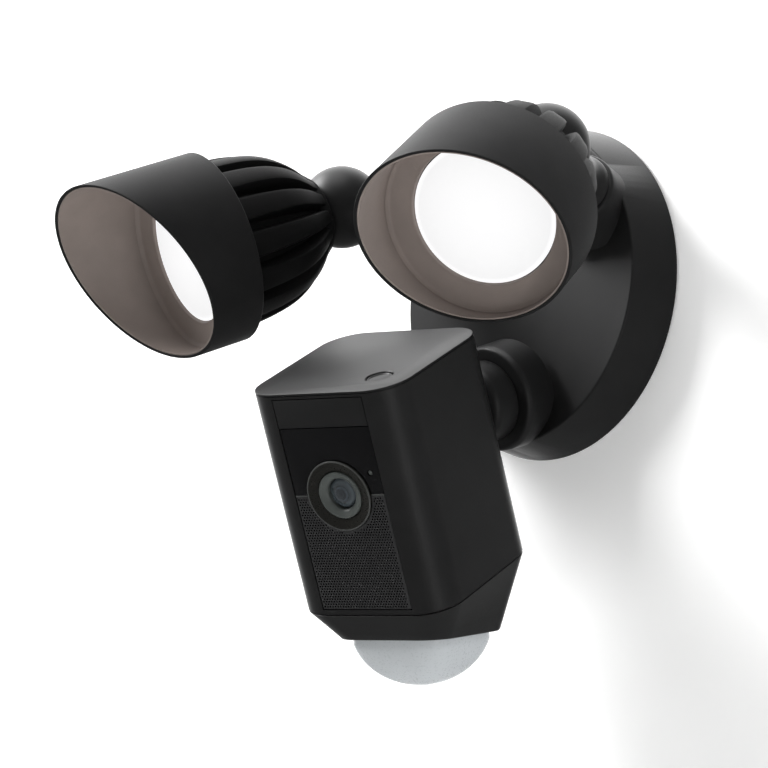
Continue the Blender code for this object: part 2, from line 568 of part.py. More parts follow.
def make_skirt():
    frame = camera_frame()
    skirt = lofted_block("skirt", 0.0, (-GAP, 0.0), frame, "shell")
    cut(skirt, lofted_block("skirt_hollow", SKIRT_WALL, (5 * MM, 4.0 * MM), frame, None))
    down = frame @ skirt_frame()
    flange = DOME_R + FLANGE_LAP
    hole = turned("dome_hole", [
        (0.0, 11 * MM), (flange + GAP, 11 * MM), (flange + GAP, FLANGE_LOW - GAP),
        (DOME_R + GAP, FLANGE_LOW - GAP), (DOME_R + GAP, -6 * MM), (0.0, -6 * MM)], down, None, 40)
    square_off(hole)
    cut(skirt, hole)

    cap_r = (DOME_R ** 2 + DOME_HEIGHT ** 2) / (2 * DOME_HEIGHT)
    inner_r = cap_r - DOME_WALL
    centre = cap_r - DOME_HEIGHT

    def cap(radius, edge):
        """Points on the cap from its edge to the pole."""
        end = atan2(edge, centre)
        rows = 5
        angles = [end * (1 - i / rows) for i in range(rows)]
        line = [(radius * sin(a), centre - DOME_DROP - radius * cos(a)) for a in angles]
        return line + [(0.0, centre - DOME_DROP - radius)]

    outside = cap(cap_r, DOME_R)
    inside = cap(inner_r, DOME_R - DOME_WALL)
    rim = [(DOME_R - DOME_WALL, FLANGE_HIGH), (flange, FLANGE_HIGH), (flange, FLANGE_LOW),
           (DOME_R, FLANGE_LOW)]
    square_off(turned("motion_dome", inside[::-1] + rim + outside, down, "dome", steps=40))
    cylinder("motion_board", 19.0 * MM, 6.9 * MM, 8.3 * MM, down, "board", 24)
    cylinder("motion_sensor", 4.6 * MM, 2.6 * MM, 6.6 * MM, down, "steel", 20)


# --- build ----------------------------------------------------------------------------------------
def build_body(pivot_name, pivot_frame, *makers):
    """Makes the pieces of one moving body and hangs them on an empty on its joint's axis."""
    before = set(PARTS.objects)
    for make in makers:
        make()
    pivot = bpy.data.objects.new(pivot_name, None)
    pivot.matrix_world = pivot_frame
    for piece in PARTS.objects:
        if piece not in before:
            piece.parent = pivot
            piece.matrix_parent_inverse = pivot_frame.inverted()
    PARTS.objects.link(pivot)


clear_scene()
PARTS = new_collection("floodlight_camera")
CUTTERS = new_collection("cutters")
MATERIALS = {
    "shell": make_material("black_plastic", (0.018, 0.018, 0.019), 0.5),
    "sink": make_material("painted_aluminium", (0.02, 0.02, 0.021), 0.42, 0.3),
    "hood_lining": make_material("warm_grey_lining", (0.16, 0.14, 0.125), 0.7),
    "diffuser": make_material("white_diffuser", (0.9, 0.9, 0.88), 0.3),
    "gloss": make_material("gloss_black", (0.008, 0.008, 0.009), 0.06),
    "mesh": make_material("speaker_mesh", (0.015, 0.015, 0.016), 0.6),
    "barrel": make_material("lens_barrel_grey", (0.12, 0.12, 0.125), 0.35),
    "glass": make_material("lens_glass", (0.02, 0.025, 0.04), 0.03),
    "dome": make_material("translucent_white", (0.72, 0.74, 0.76), 0.35),
    "liner": make_material("inner_plastic", (0.04, 0.04, 0.042), 0.55),
    "board": make_material("circuit_board", (0.02, 0.12, 0.05), 0.45),
    "component": make_material("component_black", (0.03, 0.03, 0.03), 0.5),
    "steel": make_material("zinc_plated_steel", (0.55, 0.56, 0.57), 0.35, 1.0),
    "foam": make_material("closed_cell_foam", (0.03, 0.03, 0.03), 0.9),
    "rubber": make_material("seal_rubber", (0.02, 0.02, 0.02), 0.8),
}
make_base()
make_base_fittings()
for lamp_side in ("left", "right"):
    build_body(lamp_side + "_arm_pivot", arm_frame(lamp_side), lambda: make_arm(lamp_side))
    build_body(lamp_side + "_head_pivot", head_frame(lamp_side), lambda: make_head(lamp_side))
build_body("camera_arm_pivot", seat_frame(), make_camera_arm)
build_body("camera_ball_pivot", ball_frame(), make_camera_ball)
build_body("camera_pivot", ball_frame(), make_camera_shell, make_camera_front, make_skirt)
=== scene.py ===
"""Looks of the wall-mounted floodlight security camera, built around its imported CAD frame.

Every shell is rebuilt here as a fine mesh in the CAD's own axes. Inner parts keep their CAD solids.
"""
import json
from math import atan2, cos, pi, radians, sin

import bmesh
import bpy
from mathutils import Matrix, Vector


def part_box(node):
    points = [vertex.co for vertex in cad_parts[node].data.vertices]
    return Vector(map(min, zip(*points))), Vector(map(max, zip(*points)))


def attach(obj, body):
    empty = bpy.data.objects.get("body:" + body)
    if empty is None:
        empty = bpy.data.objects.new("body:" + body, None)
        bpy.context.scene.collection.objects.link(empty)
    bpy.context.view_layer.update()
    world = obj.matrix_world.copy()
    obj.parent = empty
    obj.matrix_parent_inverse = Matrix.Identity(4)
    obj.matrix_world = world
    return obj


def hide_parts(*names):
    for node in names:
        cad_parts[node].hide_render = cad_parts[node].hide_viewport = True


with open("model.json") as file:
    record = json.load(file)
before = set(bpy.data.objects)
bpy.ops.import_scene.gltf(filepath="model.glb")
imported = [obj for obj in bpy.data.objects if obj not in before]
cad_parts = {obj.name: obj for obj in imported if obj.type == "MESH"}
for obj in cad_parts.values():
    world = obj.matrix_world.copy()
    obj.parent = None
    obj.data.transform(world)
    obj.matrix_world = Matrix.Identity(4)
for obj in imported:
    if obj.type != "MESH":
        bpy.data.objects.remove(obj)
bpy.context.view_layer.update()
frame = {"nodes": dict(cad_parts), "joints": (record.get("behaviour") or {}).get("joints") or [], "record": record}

MM = 0.001
GAP = 0.3 * MM

# --- sizes, the same as the CAD's ------------------------------------------------------------------
BASE_R_BACK, BASE_R_FRONT, BASE_DEPTH, BASE_CROWN = 65.0 * MM, 61.7 * MM, 21.3 * MM, 1.2 * MM
BASE_WALL, SHANK_R = 2.5 * MM, 6.2 * MM
KNUCKLE_R, NECK_R = 16.2 * MM, 11.0 * MM
BOSS_FACE, BOSS_ROOT, BOSS_R_FACE, BOSS_R_ROOT = 30.0 * MM, 46.0 * MM, 15.0 * MM, 18.5 * MM
HOOD_START, HOOD_R_REAR, HOOD_R_LIP, HOOD_WALL = 56.2 * MM, 37.6 * MM, 37.8 * MM, 1.8 * MM
HOOD_MEAN, HOOD_SLOPE = 35.6 * MM, 0.40
SINK_FRONT = HOOD_START + 10.0 * MM
FIN_COUNT = 14
LENS_R, LENS_FRONT = 26.2 * MM, HOOD_START + 13.4 * MM
SEAT_R, CAMERA_BOSS_ROOT, BALL_REACH, BALL_R = 15.4 * MM, 14.0 * MM, 30.5 * MM, 11.0 * MM
CAMERA_NECK_R = 5.0 * MM
BODY_HALF, BODY_DEEP, BODY_CORNER = 32.8 * MM, 67.4 * MM, 13.6 * MM
BODY_TOP, BODY_BOTTOM, BODY_WALL = 39.2 * MM, -46.5 * MM, 2.2 * MM
PANEL_HALF, PANEL_THICK = 19.3 * MM, 1.6 * MM
PANEL_TOP, WINDOW_TOP, WINDOW_LOW, PANEL_LOW = 36.9 * MM, 25.8 * MM, 0.0, -44.2 * MM
LENS_DISC_R, BARREL_R, GLASS_R = 13.3 * MM, 8.9 * MM, 5.6 * MM
SKIRT_PLANE, SKIRT_TILT = Vector((0.0, 28.9, -66.8)) * MM, radians(18.5)
SKIRT_HALF, SKIRT_WALL = 23.4 * MM, 2.4 * MM
DOME_R, DOME_HEIGHT, DOME_WALL, DOME_DROP = 22.0 * MM, 16.2 * MM, 1.3 * MM, 2.4 * MM
DOME_POWER = 3.5            # 2 is a circle, and more is nearer to a square
BALL_BEHIND, BALL_RISE = 68.5 * MM, 4.3 * MM
SOCKET_R, SOCKET_LIP = 13.5 * MM, 4.6 * MM
BUTTON_X, BUTTON_Y, BUTTON_R = 18.1 * MM, 15.5 * MM, 4.8 * MM
SENSOR_X, SENSOR_Z = 15.3 * MM, 8.2 * MM

WIRE_R = 3.2 * MM           # bore for the wiring
SHANK_TAIL = 4.5 * MM       # how far a shank passes its boss's root
BORE_TAIL = 9.0 * MM        # and how far its bore is cut
SHANK_BORE_R = SHANK_R + 0.4 * MM
BALL_SEAT_R = BALL_R + 0.5 * MM
SINK_RIM_R, KNUCKLE_CUP_R, BOARD_POCKET_R = 35.5 * MM, 17.2 * MM, 25.5 * MM
FLANGE_LAP, FLANGE_SEAT = 1.6 * MM, 4.3 * MM             # the dome's flange, and where it rests
FLANGE_LOW, FLANGE_HIGH = 4.6 * MM, 6.4 * MM

HOOD_STEPS = 160            # steps round a hood
FINE = 128                  # round another large turned piece
SEAT_STEPS = 96             # round the camera arm and its boss
SMALL = 64                  # round a small one
BORE_STEPS = 32             # round a wiring bore
SENSOR_STEPS = 24           # and round the light sensor
TINY = 1e-6


# --- frames, read from the CAD ---------------------------------------------------------------------
def joint(name):
    found = [j for j in frame["joints"] if j["name"] == name][0]
    return Vector(found["pos_m"]), Vector(found["axis"]).normalized()


def axes_at(origin, x, y, z):
    return Matrix.Translation(origin) @ Matrix((x, y, z)).transposed().to_4x4()


def facing(origin, z, upward=Vector((0, 0, 1))):
    """Axes with Z along z and Y as near to upward as it can be."""
    y = (upward - upward.dot(z) * z).normalized()
    return axes_at(origin, y.cross(z), y, z)


def head_frame(side):
    """Z is the lamp's axis from the knuckle, and Y points to the hood's long side."""
    knuckle, across = joint(side + "_head_tilt")
    low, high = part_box(side + "_lens")
    z = ((Vector(low) + Vector(high)) / 2.0 - knuckle).normalized()
    x = (-across - z * z.dot(-across)).normalized()
    return axes_at(knuckle, x, z.cross(x), z)


WALL = facing(Vector((0, 0, 0)), Vector((0, -1, 0)))
ARM = {side: facing(*joint(side + "_arm_swivel")) for side in ("left", "right")}
HEAD = {side: head_frame(side) for side in ("left", "right")}
SEAT = facing(*joint("camera_swivel"))
BALL_AT, BODY_X = joint("camera_tilt")
BODY_Z = joint("camera_pan")[1]
BALL = axes_at(BALL_AT, -BODY_X, BODY_Z.cross(-BODY_X), BODY_Z)
BODY = BALL @ Matrix.Translation((0.0, -BALL_BEHIND, -BALL_RISE))
LENS = BODY @ Matrix.Rotation(pi / 2, 4, "X")            # Z leaves the front face
BACK = BALL @ Matrix.Rotation(-pi / 2, 4, "X")           # Z leaves the back face
BUTTON = BODY @ Matrix.Translation((BUTTON_X, BUTTON_Y, BODY_TOP))
SKIRT = BODY @ Matrix.Translation(SKIRT_PLANE) @ Matrix.Rotation(-SKIRT_TILT, 4, "X")


# --- mesh helpers ----------------------------------------------------------------------------------
def soften(points, radius, steps=3, closed=False):
    """Rounds the corners of a profile. A point may carry its own radius as a third value."""
    made, count = [], len(points)
    for i, point in enumerate(points):
        here = Vector(point[:2])
        own = point[2] if len(point) > 2 else radius
        if own == 0.0 or (not closed and i in (0, count - 1)):
            made.append(here)
            continue
        before = Vector(points[i - 1][:2]) - here
        after = Vector(points[(i + 1) % count][:2]) - here
        reach = min(own, before.length * 0.48, after.length * 0.48)
        start, end = here + before.normalized() * reach, here + after.normalized() * reach
        for k in range(steps + 1):
            t = k / steps
            made.append(start * (1 - t) ** 2 + here * (2 * t * (1 - t)) + end * t * t)
    return made


def skin(rings, closed=False, caps=True):
    """Joins rings of points into one closed mesh. A ring of one point is a pole."""
    shape = bmesh.new()
    rows = [[shape.verts.new(p) for p in ring] for ring in rings]
    pairs = list(zip(rows, rows[1:])) + ([(rows[-1], rows[0])] if closed else [])
    for upper, lower in pairs:
        count = max(len(upper), len(lower))
        for i in range(count):
            j = (i + 1) % count
            corners = [upper[i % len(upper)], upper[j % len(upper)],
                       lower[j % len(lower)], lower[i % len(lower)]]
            shape.faces.new(list(dict.fromkeys(corners)))
    if caps and not closed:
        for row in (rows[0], rows[-1]):
            if len(row) > 2:
                shape.faces.new(row)
    bmesh.ops.recalc_face_normals(shape, faces=shape.faces)
    mesh = bpy.data.meshes.new("skin")
    shape.to_mesh(mesh)
    shape.free()
    return mesh


def turned(profile, steps=SMALL, closed=False, slope=0.0, slanted=()):
    """Turns (radius, height) points about Z. Points listed in slanted lean with the hood's lip."""
    rings = []
    for i, point in enumerate(profile):
        r, h = point[0], point[1]
        lean = slope if i in slanted else 0.0
        if r < TINY:
            rings.append([Vector((0.0, 0.0, h))])
            continue
        turns = [2 * pi * k / steps for k in range(steps)]
        rings.append([Vector((r * cos(a), r * sin(a), h + lean * r * sin(a))) for a in turns])
    return skin(rings, closed)


def rod(radius, high, low, steps=SMALL):
    """A plain cylinder between two heights."""
    return turned([(0.0, high), (radius, high), (radius, low), (0.0, low)], steps)


def ball_line(radius, start, end, count):
    """Points on a ball, from angle start to angle end off +Z, in degrees."""
    angles = [radians(start + (end - start) * k / count) for k in range(count + 1)]
    return [(radius * sin(a), radius * cos(a)) for a in angles]


def whole_ball(radius, rows=32):
    return turned([(0.0, radius)] + ball_line(radius, 0, 180, rows)[1:-1] + [(0.0, -radius)], SMALL)


def outline(half, near, far, corner, steps=16):
    """Points round a rounded rectangle in XY."""
    points = []
    for x, y, start in ((half - corner, near + corner, -90), (half - corner, far - corner, 0),
                        (corner - half, far - corner, 90), (corner - half, near + corner, 180)):
        for k in range(steps + 1):
            angle = radians(start + 90 * k / steps)
            points.append((x + corner * cos(angle), y + corner * sin(angle)))
    return points


def body_ring(inset, z, steps=16):
    """The camera body's outline, pulled in by inset, at height z."""
    flat = outline(BODY_HALF - inset, inset, BODY_DEEP - inset, BODY_CORNER - inset, steps)
    return [Vector((x, y, z)) for x, y in flat]


def slab(x0, x1, y0, y1, z0, z1, edge=0.0, segments=2):
    """A box with its edges rounded by edge."""
    shape = bmesh.new()
    bmesh.ops.create_cube(shape, size=1.0)
    bmesh.ops.scale(shape, vec=(x1 - x0, y1 - y0, z1 - z0), verts=shape.verts)
    bmesh.ops.translate(shape, vec=((x0 + x1) / 2, (y0 + y1) / 2, (z0 + z1) / 2), verts=shape.verts)
    if edge > 0.0:
        bmesh.ops.bevel(shape, geom=shape.edges, offset=edge, segments=segments, profile=0.5,
                        affect="EDGES")
    mesh = bpy.data.meshes.new("slab")
    shape.to_mesh(mesh)
    shape.free()
    return mesh


def loose(mesh, place):
    made = bpy.data.objects.new("tool", mesh)
    made.matrix_world = place
    bpy.context.scene.collection.objects.link(made)
    return made


def shaped(mesh, place, tools):
    """Applies booleans, each (operation, mesh, matrix). The result stays in the target's own axes."""
    target = loose(mesh, place)
    made = []
    for operation, tool_mesh, tool_place in tools:
        tool = loose(tool_mesh, tool_place)
        step = target.modifiers.new("Boolean", "BOOLEAN")
        step.operation, step.object, step.solver = operation, tool, "MANIFOLD"
        made.append(tool)
    bpy.context.view_layer.update()
    graph = bpy.context.evaluated_depsgraph_get()
    result = bpy.data.meshes.new_from_object(target.evaluated_get(graph))
    for item in made + [target]:
        bpy.data.objects.remove(item, do_unlink=True)
    return result


def show(name, mesh, place, finish, body, nodes=(), sharp=35):
    """Adds a finished piece that rides on a body and stands for CAD nodes."""
    made = bpy.data.objects.new(name, mesh)
    made.matrix_world = place
    bpy.context.scene.collection.objects.link(made)
    mesh.materials.clear()
    mesh.materials.append(FINISH[finish])
    for face in mesh.polygons:
        face.material_index = 0
    mesh.shade_smooth()
    mesh.set_sharp_from_angle(angle=radians(sharp))
    if nodes:
        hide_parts(*nodes)
    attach(made, body)
    return made


# --- materials -------------------------------------------------------------------------------------
class Nodes:
    """A small builder for one material's node tree."""

    def __init__(self, name):
        self.material = bpy.data.materials.new(name)
        self.material.use_nodes = True
        self.tree = self.material.node_tree
        self.shader = self.tree.nodes["Principled BSDF"]
        self.coords = self.add("ShaderNodeTexCoord").outputs["Object"]

    def add(self, kind, **values):
        made = self.tree.nodes.new(kind)
        for key, value in values.items():
            setattr(made, key, value)
        return made

    def link(self, source, target):
        self.tree.links.new(source, target)

    def noise(self, scale, detail=2.0, rough=0.5):
        made = self.add("ShaderNodeTexNoise")
        made.inputs["Scale"].default_value = scale
        made.inputs["Detail"].default_value = detail
        made.inputs["Roughness"].default_value = rough
        self.link(self.coords, made.inputs["Vector"])
        return made.outputs["Fac"]

    def blend(self, factor, low, high):
        made = self.add("ShaderNodeMix", data_type="RGBA")
        self.link(factor, made.inputs[0])
        made.inputs[6].default_value = (*low, 1.0)
        made.inputs[7].default_value = (*high, 1.0)
        return made.outputs[2]

    def spread(self, source, low, high, from_low=0.3, from_high=0.7):
        made = self.add("ShaderNodeMapRange")
        self.link(source, made.inputs["Value"])
        made.inputs["From Min"].default_value = from_low
        made.inputs["From Max"].default_value = from_high
        made.inputs["To Min"].default_value = low
        made.inputs["To Max"].default_value = high
        return made.outputs["Result"]

    def bump(self, height, distance, strength=1.0):
        made = self.add("ShaderNodeBump")
        made.inputs["Distance"].default_value = distance
        made.inputs["Strength"].default_value = strength
        self.link(height, made.inputs["Height"])
        self.link(made.outputs["Normal"], self.shader.inputs["Normal"])

    def rings(self, radius, stops):
        """Colours in rings about Z, each stop at a share of the radius."""
        away = self.add("ShaderNodeVectorMath", operation="LENGTH")
        flat = self.add("ShaderNodeVectorMath", operation="MULTIPLY")
        flat.inputs[1].default_value = (1.0, 1.0, 0.0)
        self.link(self.coords, flat.inputs[0])
        self.link(flat.outputs["Vector"], away.inputs[0])
        ramp = self.add("ShaderNodeValToRGB")
        self.link(self.spread(away.outputs["Value"], 0.0, 1.0, 0.0, radius), ramp.inputs["Fac"])
        while len(ramp.color_ramp.elements) < len(stops):
            ramp.color_ramp.elements.new(0.5)
        for element, (at, colour) in zip(ramp.color_ramp.elements, stops):
            element.position = at
            element.color = (*colour, 1.0)
        return ramp.outputs["Color"]

    def set(self, **values):
        for key, value in values.items():
            self.shader.inputs[key.replace("_", " ")].default_value = value


def moulded(name, colour, rough, grain=0.35 * MM, depth=0.02 * MM, vary=0.2, metallic=0.0, **values):
    """Moulded or painted surface: fine grain, slightly uneven tone and sheen."""
    made = Nodes(name)
    tone = made.noise(90.0, 3.0)
    low = [c * (1.0 - vary) for c in colour]
    high = [c * (1.0 + vary) for c in colour]
    made.link(made.blend(tone, low, high), made.shader.inputs["Base Color"])
    fine = made.noise(1.0 / grain, 2.0, 0.6)
    made.link(made.spread(fine, rough - 0.05, rough + 0.05), made.shader.inputs["Roughness"])
    made.bump(fine, depth)
    made.set(Metallic=metallic, **values)
    return made.material


def make_finishes():
    return {
        "shell": moulded("black_textured_plastic", (0.0112, 0.0112, 0.0115), 0.44, depth=0.012 * MM,
                         Specular_IOR_Level=0.22),
        "hood": moulded("black_matt_paint", (0.0125, 0.0125, 0.0128), 0.6, 0.3 * MM, 0.02 * MM,
                        Specular_IOR_Level=0.12),
        "heat_sink": moulded("black_painted_casting", (0.0065, 0.0065, 0.0067), 0.6, 0.5 * MM, 0.004 * MM,
                             Specular_IOR_Level=0.09),
        "hood_lining": moulded("warm_grey_lining", (0.215, 0.178, 0.16), 0.62, 0.45 * MM, 0.05 * MM, 0.12),
        "gloss": moulded("gloss_black", (0.004, 0.004, 0.0045), 0.14, 2.0 * MM, 0.0004 * MM,
                         Specular_IOR_Level=0.2),
        "speaker_mesh": moulded("speaker_mesh", (0.027, 0.027, 0.028), 0.5, 0.3 * MM, 0.01 * MM,
                                Specular_IOR_Level=0.25),
        "lens_barrel": moulded("lens_barrel_grey", (0.07, 0.078, 0.074), 0.35, 0.3 * MM, 0.004 * MM,
                               Specular_IOR_Level=0.25),
        "dome": moulded("translucent_white", (0.45, 0.475, 0.495), 0.3, 0.8 * MM, 0.003 * MM, 0.03),
        "lens_disc": moulded("lens_disc_olive", (0.0085, 0.0082, 0.0064), 0.3, 0.6 * MM, 0.001 * MM,
                             Specular_IOR_Level=0.3),
        # painted highlight: this pale grey stands in for the light that thin edges catch at the camera front's
        # seams and at the lens surround's rim
        "painted_edge_highlight": moulded("painted_edge_highlight", (0.052, 0.054, 0.052), 0.4, 0.3 * MM, 0.002 * MM,
                             Specular_IOR_Level=0.3),
        "inner_plastic": moulded("inner_plastic", (0.03, 0.03, 0.032), 0.5, 0.4 * MM, 0.02 * MM),
        "component": moulded("component_black", (0.025, 0.025, 0.026), 0.45, 0.3 * MM, 0.01 * MM),
        "foam": moulded("closed_cell_foam", (0.03, 0.03, 0.031), 0.9, 0.6 * MM, 0.15 * MM, 0.4),
        "seal": moulded("seal_rubber", (0.02, 0.02, 0.02), 0.75, 0.4 * MM, 0.02 * MM),
        "steel": zinc_steel(),
        "circuit_board": circuit_board(),
        "diffuser": lamp_glow(),
        "lens_glass": lens_glass(),
    }


def zinc_steel():
    made = Nodes("zinc_plated_steel")
    tone = made.noise(250.0, 4.0)
    made.link(made.blend(tone, (0.42, 0.43, 0.44), (0.6, 0.61, 0.62)), made.shader.inputs["Base Color"])
    made.link(made.spread(tone, 0.26, 0.42), made.shader.inputs["Roughness"])
    made.bump(made.noise(1800.0), 0.01 * MM)
    made.set(Metallic=1.0)
    return made.material


def circuit_board():
    made = Nodes("circuit_board")
    cells = made.add("ShaderNodeTexBrick")
    made.link(made.coords, cells.inputs["Vector"])
    cells.inputs["Scale"].default_value = 160.0
    cells.inputs["Color1"].default_value = (0.012, 0.1, 0.04, 1.0)
    cells.inputs["Color2"].default_value = (0.016, 0.13, 0.05, 1.0)
    cells.inputs["Mortar"].default_value = (0.05, 0.2, 0.08, 1.0)
    made.link(cells.outputs["Color"], made.shader.inputs["Base Color"])
    made.link(made.spread(made.noise(300.0), 0.3, 0.45), made.shader.inputs["Roughness"])
    made.bump(cells.outputs["Fac"], 0.03 * MM)
    return made.material


def lamp_glow():
    """Frosted lens, lit from behind: brightest in a thin ring at its edge, dimmest just inside it."""
    made = Nodes("glowing_diffuser")
    levels = ((0.0, 0.97), (0.55, 0.93), (0.93, 0.88), (0.965, 1.0), (1.0, 1.0))
    stops = [(at, (level, level, level * 1.005)) for at, level in levels]
    made.link(made.rings(LENS_R, stops), made.shader.inputs["Emission Color"])
    made.link(made.blend(made.noise(400.0), (0.1, 0.1, 0.1), (0.13, 0.13, 0.13)),
              made.shader.inputs["Base Color"])
    made.link(made.spread(made.noise(900.0), 0.3, 0.4), made.shader.inputs["Roughness"])
    made.set(Emission_Strength=0.95, Specular_IOR_Level=0.2)
    return made.material


def lens_glass():
    """Coated glass over dark baffles: blue-grey rings that end in a black pupil."""
    made = Nodes("coated_lens_glass")
    stops = ((0.0, (0.004, 0.005, 0.007)), (0.2, (0.02, 0.026, 0.032)), (0.3, (0.008, 0.01, 0.013)),
             (0.45, (0.035, 0.046, 0.056)), (0.55, (0.02, 0.026, 0.031)), (0.8, (0.06, 0.075, 0.085)),
             (1.0, (0.03, 0.038, 0.045)))
    made.link(made.rings(GLASS_R, stops), made.shader.inputs["Base Color"])
    made.link(made.spread(made.noise(500.0), 0.03, 0.06), made.shader.inputs["Roughness"])
    made.set(Coat_Weight=1.0, Coat_Roughness=0.02)
    return made.material


FINISH = make_finishes()


# --- base ------------------------------------------------------------------------------------------
def crown(radius, height, rise, count=10):
    """Points over a gently domed face, from its centre out."""
    return [(radius * k / count, height + rise * (1 - (k / count) ** 2)) for k in range(count)]


def make_base():
    front, rim = BASE_DEPTH, 1.5 * MM
    edge_r = BASE_R_FRONT + 0.2 * MM
    outer = crown(edge_r - rim, front, BASE_CROWN) + soften(
        [(edge_r - rim, front), (edge_r, front, rim), (BASE_R_BACK, 0.6 * MM)], rim, 6)
    inner = [(BASE_R_BACK - 0.5 * MM, 0.3 * MM), (BASE_R_BACK - BASE_WALL, 0.3 * MM),
             (BASE_R_FRONT - BASE_WALL, front - BASE_WALL), (0.0, front - BASE_WALL)]
    shell = turned([*outer, *inner], FINE)
    tools, bores = [], []
    for side in ("left", "right"):
        face, root = -BOSS_FACE, -BOSS_ROOT
        boss = turned(soften([
            (0.0, face), (BOSS_R_FACE, face, 1.6 * MM), (BOSS_R_FACE + 0.9 * MM, face - 8 * MM, 4 * MM),
            (BOSS_R_ROOT, root, 0.0), (0.0, root)], MM, 5), SMALL)
        bore = rod(SHANK_BORE_R, face + 4 * MM, root - 2 * MM)
        tools.append(("UNION", boss, ARM[side]))
        bores.append(("DIFFERENCE", bore, ARM[side]))
    root = -CAMERA_BOSS_ROOT
    boss = turned(soften([
        (0.0, 0.0), (SEAT_R + 4.1 * MM, 0.0, 0.9 * MM), (SEAT_R + 5.1 * MM, -2.0 * MM, 1.6 * MM),
        (SEAT_R + 5.2 * MM, -8.0 * MM, 1.0 * MM), (SEAT_R + 5.4 * MM, root, 0.0), (0.0, root)],
        MM, 6), SEAT_STEPS)
    bore = rod(SHANK_BORE_R, 4 * MM, root - 2 * MM)
    tools.append(("UNION", boss, SEAT))
    bores.append(("DIFFERENCE", bore, SEAT))
    mesh = shaped(shell, WALL, tools + bores)
    show("base_housing_skin", mesh, WALL, "shell", "base", ["base_housing"])


# --- lamps -----------------------------------------------------------------------------------------
def make_arm(side):
    face, root = -BOSS_FACE, -BOSS_ROOT
    cap = [(0.0, KNUCKLE_R)] + ball_line(KNUCKLE_R, 0, 138, 30)[1:]
    neck = soften([
        cap[-1], (NECK_R, -15.0 * MM, 2.5 * MM), (NECK_R + 0.3 * MM, -24.0 * MM, 3.0 * MM),
        (BOSS_R_FACE - 1.6 * MM, face + 2.2 * MM, 0.8 * MM), (BOSS_R_FACE - 1.2 * MM, face + GAP, 0.3 * MM),
        (SHANK_R, face + GAP, 0.0), (SHANK_R, root - SHANK_TAIL, 0.6 * MM), (0.0, root - SHANK_TAIL)],
        MM, 5)
    bore = rod(WIRE_R, 0.0, root - BORE_TAIL, BORE_STEPS)
    outlet = rod(WIRE_R, KNUCKLE_R + 3 * MM, -0.6 * MM, BORE_STEPS)
    mesh = shaped(turned(cap[:-1] + neck, SMALL), ARM[side], [
        ("DIFFERENCE", bore, ARM[side]), ("DIFFERENCE", outlet, HEAD[side])])
    show(side + "_arm_skin", mesh, ARM[side], "shell", side + "_arm", [side + "_arm"])


def sink_radius(t):
    """Radius of the fins' outer edge at a distance along the lamp's axis."""
    points = [(13.4, 15.2), (15.5, 18.0), (18.5, 21.2), (25.0, 26.3), (33.0, 30.1), (42.0, 32.1),
              (52.0, 33.0), (64.0, 33.2)]
    for (t0, r0), (t1, r1) in zip(points, points[1:]):
        if t <= t1 * MM:
            share = max(0.0, (t - t0 * MM) / ((t1 - t0) * MM))
            return (r0 + (r1 - r0) * share) * MM
    return points[-1][1] * MM


def fin_mesh(count, length_steps=22):
    """All fins of one heat sink: wedges with rounded outer edges that narrow to the collar."""
    meshes = bmesh.new()
    start, end = 13.6 * MM, 63.9 * MM
    for number in range(count):
        spin = Matrix.Rotation(2 * pi * (number + 0.5) / count, 4, "Z")
        rows = []
        for k in range(length_steps + 1):
            t = start + (end - start) * (k / length_steps)
            r = sum(sink_radius(t + d * MM) for d in (-2.5, 0.0, 2.5)) / 3.0
            share = k / length_steps
            half = (2.4 + 3.0 * share ** 0.6) * MM
            edge = 1.5 * MM
            low = max(11.0 * MM, r - 9.0 * MM)
            section = [(low, -half), (r - edge, -half), (r - 0.3 * edge, -half + 0.25 * edge),
                       (r, -half + edge), (r, half - edge), (r - 0.3 * edge, half - 0.25 * edge),
                       (r - edge, half), (low, half)]
            rows.append([meshes.verts.new(spin @ Vector((x, y, t))) for x, y in section])
        size = len(rows[0])
        for upper, lower in zip(rows, rows[1:]):
            for i in range(size):
                j = (i + 1) % size
                meshes.faces.new((upper[i], upper[j], lower[j], lower[i]))
        meshes.faces.new(rows[0])
        meshes.faces.new(rows[-1])
    bmesh.ops.recalc_face_normals(meshes, faces=meshes.faces)
    mesh = bpy.data.meshes.new("fins")
    meshes.to_mesh(mesh)
    meshes.free()
    return mesh


